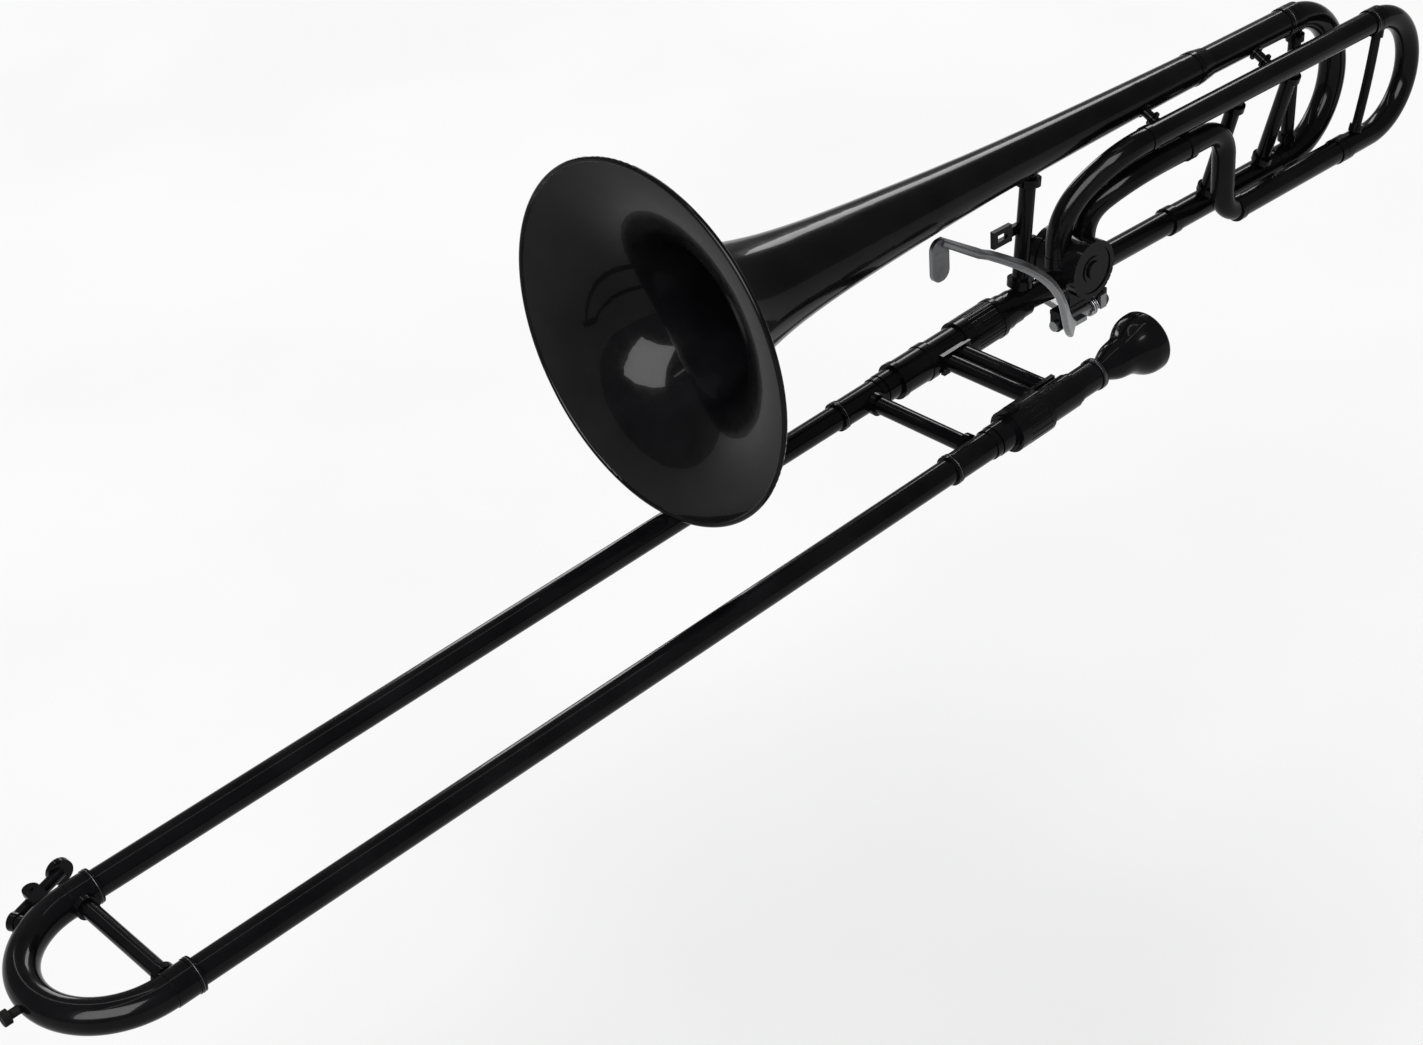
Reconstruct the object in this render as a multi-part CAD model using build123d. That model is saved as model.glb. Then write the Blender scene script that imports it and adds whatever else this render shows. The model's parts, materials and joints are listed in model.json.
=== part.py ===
from build123d import *
import math
import os

os.makedirs("parts", exist_ok=True)

# Tenor trombone in B flat with an F attachment. All sizes in millimetres.
# Y runs along the bell: the bell opens towards -Y, the tuning slides point to +Y.
# Z is up, with the bell above the hand slide. X points from the bell-side slide
# tube to the mouthpiece-side slide tube. The origin is the bell lock, where the
# hand slide joins the bell section and the left hand closes round the instrument.

# ---- driving dimensions: bell and tuning slide ----
RIM_RADIUS = 107.0
RIM_Y = -279.0
HORN_SCALE = 13.7
HORN_POWER = 0.64
SWELL = 0.055
SWELL_Y = -90.0
SWELL_LENGTH = 80.0
BELL_WALL = 0.8
RIM_WIRE_RADIUS = 1.7
SEAM_Y = -107.0
STEM_END_Y = 188.0
BELL_HEIGHT = 101.2
UPPER_LEG_RADIUS = 9.5
LOWER_LEG_RADIUS = 8.9
LOWER_LEG_START_Y = 168.0
TUBE_WALL = 0.6
FIT = 0.05
MAIN_LEG_END_Y = 290.5
MAIN_CROOK_Y = 291.0
MAIN_BEND_Y = 294.5
MAIN_CROOK_RADIUS = 9.2
MAIN_INNER_LENGTH = 84.0

# ---- driving dimensions: F attachment ----
LOOP_X = 26.0
LOOP_TOP_Z = 87.5
LOOP_LOW_Z = 3.5
LOOP_RADIUS = 8.1
LOOP_UPPER_START_Y = 112.0
LOOP_UPPER_END_Y = 351.5
LOOP_LOWER_START_Y = 211.0
LOOP_LOWER_END_Y = 322.0
LOOP_CROOK_Y = 353.5
LOOP_INNER_LENGTH = 84.0
RETURN_Z = 68.0
RETURN_Y = 150.0
DROP_Y = 193.0

# ---- driving dimensions: rotary valve and trigger ----
VALVE_X = 3.0
VALVE_Y = 68.0
VALVE_Z = 13.5
CASING_RADIUS = 18.5
CASING_BORE = 15.6
CASING_HALF = 16.0
PORT_OFFSET = 11.0
RISER_OFFSET = 12.0
PASSAGE_OFFSET = 9.0
PASSAGE_RADIUS = 5.6
SPINDLE_RADIUS = 3.0
LEVER_REACH = 32.7
LEVER_SWING = 18.0
HINGE_X = 7.0
HINGE_Z = -24.5
HINGE_FRONT_Y = 50.0
HINGE_REAR_Y = 96.0
AXLE_RADIUS = 2.0

# ---- driving dimensions: hand slide and mouthpiece ----
SLIDE_TILT = 3.3
SLIDE_SPACING = 91.5
OUTER_RADIUS = 7.7
OUTER_BORE = 7.2
INNER_RADIUS = 6.9
INNER_BORE = 6.5
STOCKING_RADIUS = 7.15
STOCKING_LENGTH = 95.0
OUTER_TOP_Y = -70.0
OUTER_END_Y = -675.0
BOW_BEND_Y = -677.5
INNER_END_Y = -655.0
CROOK_RADIUS = 9.0
BRACE_Y = -115.0
BARREL_FRONT_Y = -103.0
BARREL_BACK_Y = -61.0
RECEIVER_END_Y = -11.0
CUP_RIM_Y = 36.5


# ---- shared shape builders ----
def rod_y(x, z, y0, y1, radius):
    """Solid round bar along Y."""
    middle = Pos(x, (y0 + y1) / 2, z) * Rot(90, 0, 0)
    return middle * Cylinder(radius, abs(y1 - y0))


def rod_x(x0, x1, y, z, radius):
    """Solid round bar along X."""
    middle = Pos((x0 + x1) / 2, y, z) * Rot(0, 90, 0)
    return middle * Cylinder(radius, abs(x1 - x0))


def rod_z(x, y, z0, z1, radius):
    """Solid round bar along Z."""
    return Pos(x, y, (z0 + z1) / 2) * Cylinder(radius, abs(z1 - z0))


def pipe_y(x, z, y0, y1, outer, inner):
    """Straight tube along Y."""
    return rod_y(x, z, y0, y1, outer) - rod_y(x, z, y0 - 1, y1 + 1, inner)


def block(x0, x1, y0, y1, z0, z1):
    """Rectangular block between two corners."""
    centre = Pos((x0 + x1) / 2, (y0 + y1) / 2, (z0 + z1) / 2)
    return centre * Box(abs(x1 - x0), abs(y1 - y0), abs(z1 - z0))


def bar_between(start, end, radius):
    """Solid round bar from one point to another."""
    line = Line(start, end)
    return sweep(Plane(origin=start, z_dir=line % 0) * Circle(radius), path=line)


def tube_along(path, outer, inner):
    """Hollow tube swept along a path."""
    start = Plane(origin=path @ 0, z_dir=path % 0)
    skin = sweep(start * Circle(outer), path=path)
    bore = sweep(start * Circle(inner), path=path)
    return skin - bore


def half_crook(x, y, z_top, z_low, outer, inner):
    """Half-round crook in the YZ plane, bulging to +Y."""
    reach = (z_top - z_low) / 2
    middle = (z_top + z_low) / 2
    path = ThreePointArc((x, y, z_top), (x, y + reach, middle), (x, y, z_low))
    return tube_along(path, outer, inner)


def solid_crook(x, y, z_top, z_low, outer):
    """Filled half-round crook, used to trim pieces that are soldered onto one."""
    reach = (z_top - z_low) / 2
    middle = (z_top + z_low) / 2
    path = ThreePointArc((x, y, z_top), (x, y + reach, middle), (x, y, z_low))
    return sweep(Plane(origin=path @ 0, z_dir=path % 0) * Circle(outer), path=path)


def turned_y(profile, x=0.0, z=0.0):
    """Solid of revolution about a line along Y from (radius, y) corners."""
    face = make_face(Polyline([(r, y, 0) for r, y in profile], close=True))
    return Pos(x, 0, z) * revolve(face, axis=Axis.Y)


def on_slide(shape):
    """Place a piece drawn square to Y onto the slide's own tilted line."""
    return Rot(SLIDE_TILT, 0, 0) * shape


def save(name, shape):
    """Write one piece to its own file."""
    solids = shape.solids()
    largest = max(solids, key=lambda s: s.volume)
    kept = [s for s in solids if s.volume > 0.001 * largest.volume]
    piece = kept[0] if len(kept) == 1 else Compound(kept)
    piece.label = name
    export_step(piece, f"parts/{name}.step")
    box = piece.bounding_box()
    print(name, len(kept), [round(v, 1) for v in box.min], [round(v, 1) for v in box.max])


# ---- bell: flare, rolled rim, stem ----
def horn_radius(y):
    """Outside radius of the bell: a Bessel horn, a little fuller round its seam."""
    horn = RIM_RADIUS * (1 + (y - RIM_Y) / HORN_SCALE) ** (-HORN_POWER)
    return horn * (1 + SWELL * math.exp(-(((y - SWELL_Y) / SWELL_LENGTH) ** 2)))


def horn_slope(y):
    """Rate of change of the bell's radius along Y."""
    return (horn_radius(y + 0.01) - horn_radius(y - 0.01)) / 0.02


def horn_shell(y0, y1, count, bunching):
    """Thin bell wall between two stations, thickness measured square to the wall."""
    outside = []
    inside = []
    for i in range(count + 1):
        y = y0 + (y1 - y0) * (i / count) ** bunching
        radius = horn_radius(y)
        slope = horn_slope(y)
        length = math.hypot(1, slope)
        outside.append((radius, y, 0))
        inside.append((radius - BELL_WALL / length, y + BELL_WALL * slope / length, 0))
    skin = Spline(outside)
    lining = Spline(inside)
    front = Line(outside[0], inside[0])
    back = Line(outside[-1], inside[-1])
    wall = revolve(make_face(Wire([skin, back, lining, front])), axis=Axis.Y)
    return Pos(0, 0, BELL_HEIGHT) * wall


bell_flare = horn_shell(RIM_Y, SEAM_Y, 16, 1.8)
bell_flare = bell_flare - block(-60, 60, SEAM_Y, SEAM_Y + 5, 40, 160)
bell_stem = horn_shell(SEAM_Y - 4, STEM_END_Y, 10, 1.0)
bell_stem = bell_stem - block(-60, 60, SEAM_Y - 20, SEAM_Y, 40, 160)
stem_outside = Pos(0, 0, BELL_HEIGHT) * revolve(
    make_face(
        Polyline(
            [(0, SEAM_Y, 0)]
            + [(horn_radius(SEAM_Y + 7.4 * i), SEAM_Y + 7.4 * i, 0) for i in range(41)]
            + [(0, SEAM_Y + 296, 0)],
            close=True,
        )
    ),
    axis=Axis.Y,
)
rim_path = Pos(0, RIM_Y, BELL_HEIGHT) * Rot(90, 0, 0)
bell_rim = rim_path * Torus(RIM_RADIUS, RIM_WIRE_RADIUS) - bell_flare
save("bell_flare", bell_flare)
save("bell_rim", bell_rim)
save("bell_stem", bell_stem)

stem_end_radius = horn_radius(STEM_END_Y)
tail_profile = [
    (UPPER_LEG_RADIUS, STEM_END_Y),
    (stem_end_radius + 0.5, STEM_END_Y),
    (stem_end_radius + 0.5, STEM_END_Y + 4),
    (UPPER_LEG_RADIUS + 0.7, STEM_END_Y + 14),
    (UPPER_LEG_RADIUS, STEM_END_Y + 14),
]
save("bell_tail_ferrule", turned_y(tail_profile, 0, BELL_HEIGHT))

# ---- main tuning slide: fixed outer legs ----
upper_bore = UPPER_LEG_RADIUS - TUBE_WALL
lower_bore = LOWER_LEG_RADIUS - TUBE_WALL
upper_leg = pipe_y(0, BELL_HEIGHT, STEM_END_Y - 3, MAIN_LEG_END_Y, UPPER_LEG_RADIUS, upper_bore)
upper_leg += pipe_y(0, BELL_HEIGHT, MAIN_LEG_END_Y - 7, MAIN_LEG_END_Y, UPPER_LEG_RADIUS + 0.7, upper_bore)
lower_leg = pipe_y(0, 0, LOWER_LEG_START_Y, MAIN_LEG_END_Y, LOWER_LEG_RADIUS, lower_bore)
lower_leg += pipe_y(0, 0, MAIN_LEG_END_Y - 7, MAIN_LEG_END_Y, LOWER_LEG_RADIUS + 0.8, lower_bore)
lower_leg += pipe_y(0, 0, LOWER_LEG_START_Y, LOWER_LEG_START_Y + 7, LOWER_LEG_RADIUS + 0.8, lower_bore)
save("upper_leg", upper_leg)
save("lower_leg", lower_leg)

# ---- main tuning slide: sliding crook ----
main_crook = half_crook(0, MAIN_BEND_Y, BELL_HEIGHT, 0, MAIN_CROOK_RADIUS, 8.0)
for height, radius, bore in ((BELL_HEIGHT, 10.3, upper_bore), (0.0, 9.8, lower_bore)):
    main_crook += pipe_y(0, height, MAIN_CROOK_Y, MAIN_BEND_Y, radius, bore - FIT)
    main_crook += pipe_y(0, height, MAIN_BEND_Y - 0.5, MAIN_CROOK_Y + 8, radius, MAIN_CROOK_RADIUS - 0.2)
save("main_slide_crook", main_crook)
inner_start = MAIN_BEND_Y - MAIN_INNER_LENGTH
main_upper_inner = pipe_y(0, BELL_HEIGHT, inner_start, MAIN_BEND_Y, upper_bore - FIT, upper_bore - 0.7)
main_lower_inner = pipe_y(0, 0, inner_start, MAIN_BEND_Y, lower_bore - FIT, lower_bore - 0.7)
save("main_slide_upper_leg", main_upper_inner)
save("main_slide_lower_leg", main_lower_inner)

# ---- rotary valve: casing, screw cap, bearing plate, rotor ----
cap_face = VALVE_X + CASING_HALF
stop_face = VALVE_X - CASING_HALF
line_z = VALVE_Z - PORT_OFFSET
casing_solid = rod_x(stop_face, cap_face, VALVE_Y, VALVE_Z, CASING_RADIUS)
casing = casing_solid - rod_x(stop_face - 1, cap_face + 1, VALVE_Y, VALVE_Z, CASING_BORE)
for edge in (stop_face, cap_face - 3):
    collar = rod_x(edge, edge + 3, VALVE_Y, VALVE_Z, CASING_RADIUS + 1.0)
    casing += collar - rod_x(edge - 1, edge + 4, VALVE_Y, VALVE_Z, CASING_BORE)
for side in (-1, 1):
    casing += rod_z(VALVE_X, VALVE_Y + side * RISER_OFFSET, VALVE_Z + 2, VALVE_Z + 9, LOOP_RADIUS + 0.5)
casing -= rod_x(stop_face - 1, cap_face + 1, VALVE_Y, VALVE_Z, CASING_BORE)
casing -= rod_y(VALVE_X, line_z, VALVE_Y - 20, VALVE_Y + 20, 6.3)
for side in (-1, 1):
    casing -= rod_z(VALVE_X, VALVE_Y + side * RISER_OFFSET, VALVE_Z, VALVE_Z + 25, 6.3)
save("valve_casing", casing)

valve_cap = rod_x(cap_face, cap_face + 4, VALVE_Y, VALVE_Z, CASING_RADIUS + 1.0)
recess = rod_x(cap_face + 3.2, cap_face + 5, VALVE_Y, VALVE_Z, CASING_RADIUS - 2.5)
valve_cap -= recess - rod_x(cap_face + 3, cap_face + 6, VALVE_Y, VALVE_Z, 9)
valve_cap += rod_x(cap_face + 3, cap_face + 5.5, VALVE_Y, VALVE_Z, 6)
valve_cap += rod_x(cap_face - 4, cap_face, VALVE_Y, VALVE_Z, CASING_BORE)
for i in range(24):
    angle = math.radians(15 * i)
    cut_y = VALVE_Y + (CASING_RADIUS + 1.3) * math.cos(angle)
    cut_z = VALVE_Z + (CASING_RADIUS + 1.3) * math.sin(angle)
    valve_cap -= rod_x(cap_face + 0.6, cap_face + 5, cut_y, cut_z, 0.8)
valve_cap -= rod_x(cap_face - 5, cap_face + 1, VALVE_Y, VALVE_Z, SPINDLE_RADIUS + FIT)
save("valve_cap", valve_cap)

bearing_plate = rod_x(stop_face, stop_face + 4, VALVE_Y, VALVE_Z, CASING_BORE)
bearing_plate += rod_x(stop_face - 3, stop_face, VALVE_Y, VALVE_Z, CASING_RADIUS)
bearing_plate += rod_x(stop_face - 5, stop_face - 3, VALVE_Y, VALVE_Z, 6.5)
bearing_plate -= rod_x(stop_face - 6, stop_face + 5, VALVE_Y, VALVE_Z, SPINDLE_RADIUS + FIT)
save("valve_bearing_plate", bearing_plate)

rotor = rod_x(stop_face + 4.3, cap_face - 4.3, VALVE_Y, VALVE_Z, CASING_BORE - FIT)
for side in (-1, 1):
    passage_z = VALVE_Z + side * PASSAGE_OFFSET
    rotor -= rod_y(VALVE_X, passage_z, VALVE_Y - 20, VALVE_Y + 20, PASSAGE_RADIUS)
rotor += rod_x(cap_face - 5, cap_face + 0.7, VALVE_Y, VALVE_Z, SPINDLE_RADIUS)
rotor += rod_x(stop_face - 9, stop_face + 5, VALVE_Y, VALVE_Z, SPINDLE_RADIUS)
save("valve_rotor", rotor)

# Stop arm: crank pin at 135 degrees, stop finger opposite at -45 degrees.
half_swing = math.radians(LEVER_SWING / 2)
pin_reach = LEVER_REACH * math.sin(half_swing) / math.sin(math.radians(45))
pin_offset = pin_reach * math.sin(math.radians(45))
arm_near = stop_face - 5.5
arm_far = stop_face - 8.5
link_x = stop_face - 12.5
pin_y = VALVE_Y - pin_offset
pin_z = VALVE_Z + pin_offset
stop_arm = rod_x(arm_far, arm_near, VALVE_Y, VALVE_Z, 5.0)
stop_arm += rod_x(arm_far, arm_near, pin_y, pin_z, 3.0)
web = Pos((arm_near + arm_far) / 2, VALVE_Y, VALVE_Z) * Rot(-45, 0, 0) * Pos(0, 6.0 - pin_reach / 2, 0)
stop_arm += web * Box(arm_near - arm_far, 12 + pin_reach, 4)
stop_arm += rod_x(link_x - 4.6, arm_far, pin_y, pin_z, 1.4)
stop_arm += rod_x(link_x - 4.6, link_x - 3.0, pin_y, pin_z, 2.6)
stop_arm += rod_x(arm_far - 1.8, arm_far, VALVE_Y, VALVE_Z, 3.8)
stop_arm -= rod_x(stop_face - 9, arm_near + 1, VALVE_Y, VALVE_Z, SPINDLE_RADIUS)
save("stop_arm", stop_arm)

# Fixed ring with the two bumpers that end the rotor's quarter turn.
stop_plate = rod_x(stop_face - 4.4, stop_face - 3, VALVE_Y, VALVE_Z, 14.5)
stop_plate -= rod_x(stop_face - 6, stop_face - 2, VALVE_Y, VALVE_Z, 6.5)
bumper_angle = 45 + math.degrees(math.asin(4.45 / 9.5))
for side in (-1, 1):
    angle = math.radians(side * bumper_angle)
    bumper_y = VALVE_Y + 9.5 * math.cos(angle)
    bumper_z = VALVE_Z + 9.5 * math.sin(angle)
    stop_plate += rod_x(arm_far, stop_face - 4, bumper_y, bumper_z, 2.1)
save("stop_plate", stop_plate)

# ---- tubing through the valve ----
tilt_sin = math.sin(math.radians(SLIDE_TILT))
tilt_cos = math.cos(math.radians(SLIDE_TILT))
neck_path = Spline(
    (0, 26 * tilt_cos, 26 * tilt_sin),
    (VALVE_X, VALVE_Y - 11, line_z),
    tangents=((0, tilt_cos, tilt_sin), (0, 1, 0)),
)
neckpipe = tube_along(neck_path, 8.2, 6.9) - casing_solid
save("neckpipe", neckpipe)
outlet_path = Spline(
    (VALVE_X, VALVE_Y + 11, line_z),
    (0, LOWER_LEG_START_Y, 0),
    tangents=((0, 1, 0), (0, 1, 0)),
)
valve_outlet = tube_along(outlet_path, 8.2, 6.9) - casing_solid
save("valve_outlet", valve_outlet)

feed_path = Spline(
    (VALVE_X, VALVE_Y - RISER_OFFSET, VALVE_Z + 9),
    (LOOP_X - 11.5, LOOP_UPPER_START_Y - 31.5, VALVE_Z + 59.0),
    (LOOP_X, LOOP_UPPER_START_Y, LOOP_TOP_Z),
    tangents=((0, 0, 1), (0, 1, 0)),
)
loop_feed_tube = tube_along(feed_path, LOOP_RADIUS, 6.9) - casing_solid
return_path = Spline(
    (VALVE_X, VALVE_Y + RISER_OFFSET, VALVE_Z + 9),
    (LOOP_X - 11.5, 92.5, 55.5),
    (LOOP_X, 130.0, RETURN_Z),
    tangents=((0, 0, 1), (0, 1, 0)),
)
loop_return_tube = tube_along(return_path, LOOP_RADIUS, 6.9) - casing_solid
loop_return_tube += pipe_y(LOOP_X, RETURN_Z, 130, RETURN_Y, LOOP_RADIUS, 6.9)
save("loop_feed_tube", loop_feed_tube)
save("loop_return_tube", loop_return_tube)

# Small bow, drop tube and elbow joining the return tube to the lower leg.
bow_reach = 20.0
elbow_reach = LOOP_LOWER_START_Y - DROP_Y
bow_arc_start = DROP_Y - bow_reach
bow_middle = bow_reach * math.sin(math.radians(45))
elbow_middle = elbow_reach * math.sin(math.radians(45))
bow_bend = ThreePointArc(
    (LOOP_X, bow_arc_start, RETURN_Z),
    (LOOP_X, bow_arc_start + bow_middle, RETURN_Z - bow_reach + bow_middle),
    (LOOP_X, DROP_Y, RETURN_Z - bow_reach),
)
elbow_bend = ThreePointArc(
    (LOOP_X, DROP_Y, LOOP_LOW_Z + elbow_reach),
    (LOOP_X, LOOP_LOWER_START_Y - elbow_middle, LOOP_LOW_Z + elbow_reach - elbow_middle),
    (LOOP_X, LOOP_LOWER_START_Y, LOOP_LOW_Z),
)
loop_return_bow = pipe_y(LOOP_X, RETURN_Z, RETURN_Y, bow_arc_start, 7.7, 6.9)
loop_return_bow += tube_along(bow_bend, 7.7, 6.9)
drop_tube = rod_z(LOOP_X, DROP_Y, LOOP_LOW_Z + elbow_reach, RETURN_Z - bow_reach, 7.7)
drop_tube -= rod_z(LOOP_X, DROP_Y, LOOP_LOW_Z, RETURN_Z, 6.9)
loop_return_bow += drop_tube
loop_return_bow += tube_along(elbow_bend, 7.7, 6.9)
loop_return_bow += pipe_y(LOOP_X, RETURN_Z, RETURN_Y, RETURN_Y + 6, 9.0, 6.9)
elbow_ring = pipe_y(LOOP_X, LOOP_LOW_Z, LOOP_LOWER_START_Y - 5, LOOP_LOWER_START_Y, 9.0, 7.3)
loop_return_bow += elbow_ring
save("loop_return_bow", loop_return_bow)

loop_bore = LOOP_RADIUS - TUBE_WALL
loop_upper = pipe_y(LOOP_X, LOOP_TOP_Z, LOOP_UPPER_START_Y, LOOP_UPPER_END_Y, LOOP_RADIUS, loop_bore)
loop_upper += pipe_y(LOOP_X, LOOP_TOP_Z, LOOP_UPPER_END_Y - 6, LOOP_UPPER_END_Y, LOOP_RADIUS + 0.8, loop_bore)
upper_ring_y = LOOP_UPPER_START_Y + 5
loop_upper += pipe_y(LOOP_X, LOOP_TOP_Z, LOOP_UPPER_START_Y, upper_ring_y, LOOP_RADIUS + 0.6, loop_bore)
loop_lower = pipe_y(LOOP_X, LOOP_LOW_Z, LOOP_LOWER_START_Y, LOOP_LOWER_END_Y, LOOP_RADIUS, loop_bore)
loop_lower += pipe_y(LOOP_X, LOOP_LOW_Z, LOOP_LOWER_END_Y - 6, LOOP_LOWER_END_Y, LOOP_RADIUS + 0.8, loop_bore)
save("loop_upper_leg", loop_upper)
save("loop_lower_leg", loop_lower)

# ---- F tuning slide: crook with inner legs and a bowed brace ----
crook_top = half_crook(LOOP_X, LOOP_CROOK_Y, LOOP_TOP_Z, LOOP_LOW_Z, LOOP_RADIUS, 6.9)
straight = pipe_y(LOOP_X, LOOP_LOW_Z, LOOP_LOWER_END_Y + 0.5, LOOP_CROOK_Y, LOOP_RADIUS, 6.9)
collar_y = LOOP_LOWER_END_Y + 0.5
loop_crook = crook_top + straight
loop_crook += pipe_y(LOOP_X, LOOP_LOW_Z, collar_y, collar_y + 6, LOOP_RADIUS + 0.8, 6.9)
loop_crook += pipe_y(LOOP_X, LOOP_TOP_Z, LOOP_UPPER_END_Y + 0.5, LOOP_CROOK_Y + 4, LOOP_RADIUS + 0.8, 7.45)
loop_crook -= rod_y(LOOP_X, LOOP_LOW_Z, collar_y - 1, collar_y + 6, loop_bore - FIT)
loop_crook -= rod_y(LOOP_X, LOOP_TOP_Z, LOOP_UPPER_END_Y - 1, LOOP_CROOK_Y + 1, loop_bore - FIT)
save("loop_slide_crook", loop_crook)
upper_inner = pipe_y(
    LOOP_X,
    LOOP_TOP_Z,
    LOOP_CROOK_Y + 1 - LOOP_INNER_LENGTH,
    LOOP_CROOK_Y + 1,
    loop_bore - FIT,
    loop_bore - 0.7,
)
lower_inner = pipe_y(
    LOOP_X,
    LOOP_LOW_Z,
    collar_y + 6 - LOOP_INNER_LENGTH,
    collar_y + 6,
    loop_bore - FIT,
    loop_bore - 0.7,
)
save("loop_slide_upper_leg", upper_inner)
save("loop_slide_lower_leg", lower_inner)
brace_path = ThreePointArc(
    (LOOP_X, LOOP_CROOK_Y + 5, LOOP_TOP_Z),
    (LOOP_X, 350.5, 48),
    (LOOP_X, 336, LOOP_LOW_Z),
)
brace_start = Plane(origin=brace_path @ 0, z_dir=brace_path % 0)
slide_brace = sweep(brace_start * Circle(3.2), path=brace_path)
slide_brace += bar_between(brace_path @ 0.09, brace_path @ 0.15, 4.6)
slide_brace += bar_between(brace_path @ 0.85, brace_path @ 0.91, 4.6)
slide_brace -= rod_y(LOOP_X, LOOP_TOP_Z, 330, LOOP_CROOK_Y + 0.0, LOOP_RADIUS + 0.8)
slide_brace -= rod_y(LOOP_X, LOOP_LOW_Z, 320, LOOP_CROOK_Y, LOOP_RADIUS)
slide_brace -= solid_crook(LOOP_X, LOOP_CROOK_Y, LOOP_TOP_Z, LOOP_LOW_Z, LOOP_RADIUS)
slide_brace -= rod_y(LOOP_X, LOOP_TOP_Z, LOOP_UPPER_END_Y, LOOP_CROOK_Y + 4, LOOP_RADIUS + 0.8)
save("loop_slide_brace", slide_brace)

# ---- soldered braces between the tubes ----
upper_fill = rod_y(0, BELL_HEIGHT, STEM_END_Y - 3, MAIN_LEG_END_Y, UPPER_LEG_RADIUS)
lower_fill = rod_y(0, 0, LOWER_LEG_START_Y, MAIN_LEG_END_Y, LOWER_LEG_RADIUS)
loop_upper_fill = rod_y(LOOP_X, LOOP_TOP_Z, LOOP_UPPER_START_Y, LOOP_UPPER_END_Y, LOOP_RADIUS)


def flanged_brace(start, end, radius, flange, inset):
    """Round brace with a wider flange close to each end."""
    line = Line(start, end)
    brace = bar_between(start, end, radius)
    brace += bar_between(line @ inset, line @ (inset + 0.05), flange)
    brace += bar_between(line @ (1 - inset - 0.05), line @ (1 - inset), flange)
    return brace


loop_braces = []
for y in (206.5, 265.5):
    brace = flanged_brace((LOOP_X, y, LOOP_TOP_Z), (0, y, 0), 5.0, 7.0, 0.11)
    loop_braces += (brace - loop_upper_fill - lower_fill).solids()
save("loop_braces", Compound(loop_braces))
bell_ties = []
for y in (131.0, 245.0):
    tie = flanged_brace((LOOP_X, y, LOOP_TOP_Z), (0, y, BELL_HEIGHT), 3.2, 5.2, 0.34)
    bell_ties += (tie - loop_upper_fill - upper_fill - stem_outside).solids()
save("bell_ties", Compound(bell_ties))
slide_stay = flanged_brace((0, 301, BELL_HEIGHT), (0, 296.5, 0), 4.4, 6.2, 0.12)
slide_stay -= solid_crook(0, MAIN_BEND_Y, BELL_HEIGHT, 0, MAIN_CROOK_RADIUS)
for height, radius in ((BELL_HEIGHT, 10.3), (0.0, 9.8)):
    slide_stay -= rod_y(0, height, MAIN_CROOK_Y - 5, MAIN_CROOK_Y + 8, radius)
save("main_slide_brace", slide_stay)

neck_fill_start = Plane(origin=neck_path @ 0, z_dir=neck_path % 0)
neck_fill = sweep(neck_fill_start * Circle(8.2), path=neck_path)
bell_brace = flanged_brace((0, 22, 0), (0, 34, 98), 5.2, 8.2, 0.135)
bell_brace -= neck_fill
bell_brace -= on_slide(rod_y(0, 0, -10, 26, 10.8))
bell_brace -= stem_outside
save("bell_brace", bell_brace)

# Small rectangular loop on the front of the bell brace.
loop_ring = block(-4.4, -1.2, 2, 18.5, 46, 57.5) - block(-5, 0, 5.6, 14.4, 49.8, 54.2)
brace_loop = loop_ring + block(-4.4, -1.2, 18, 30, 48.5, 55)
brace_loop -= bar_between((0, 22, 0), (0, 34, 98), 5.2)
brace_loop -= block(-5, 0, 29, 60, 40, 80)
save("brace_loop", brace_loop)

# ---- trigger: saddle, axle, lever, link, spring ----
saddle = block(HINGE_X - 5, HINGE_X + 3.5, HINGE_FRONT_Y, HINGE_REAR_Y, HINGE_Z + 6.8, HINGE_Z + 9.6)
for ear_y in (HINGE_FRONT_Y, HINGE_REAR_Y - 3.6):
    saddle += block(HINGE_X - 4.6, HINGE_X + 3.5, ear_y, ear_y + 3.6, HINGE_Z, HINGE_Z + 9.6)
    saddle += rod_y(HINGE_X, HINGE_Z, ear_y, ear_y + 3.6, 4.6)
saddle += block(HINGE_X - 7, HINGE_X + 3, VALVE_Y - 8, VALVE_Y + 8, HINGE_Z + 9, VALVE_Z - 12)
saddle += block(HINGE_X - 9, HINGE_X - 1, 88, HINGE_REAR_Y, HINGE_Z + 9, -2)
outlet_start = Plane(origin=outlet_path @ 0, z_dir=outlet_path % 0)
outlet_fill = sweep(outlet_start * Circle(8.2), path=outlet_path)
saddle -= casing_solid
saddle -= rod_x(cap_face - 3, cap_face, VALVE_Y, VALVE_Z, CASING_RADIUS + 1.0)
saddle -= rod_x(stop_face, stop_face + 3, VALVE_Y, VALVE_Z, CASING_RADIUS + 1.0)
saddle -= outlet_fill
saddle -= neck_fill
saddle -= block(HINGE_X + 0.4, HINGE_X + 4, 80, HINGE_REAR_Y - 3.6, HINGE_Z + 5, HINGE_Z + 9.6)
saddle -= rod_y(HINGE_X, HINGE_Z, HINGE_FRONT_Y - 1, HINGE_REAR_Y + 1, AXLE_RADIUS)
save("trigger_saddle", saddle)
axle = rod_y(HINGE_X, HINGE_Z, HINGE_FRONT_Y - 2.5, HINGE_REAR_Y + 2.5, AXLE_RADIUS)
axle += rod_y(HINGE_X, HINGE_Z, HINGE_FRONT_Y - 2.5, HINGE_FRONT_Y, 3.4)
axle += rod_y(HINGE_X, HINGE_Z, HINGE_REAR_Y, HINGE_REAR_Y + 2.5, 3.4)
save("trigger_axle", axle)

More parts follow.
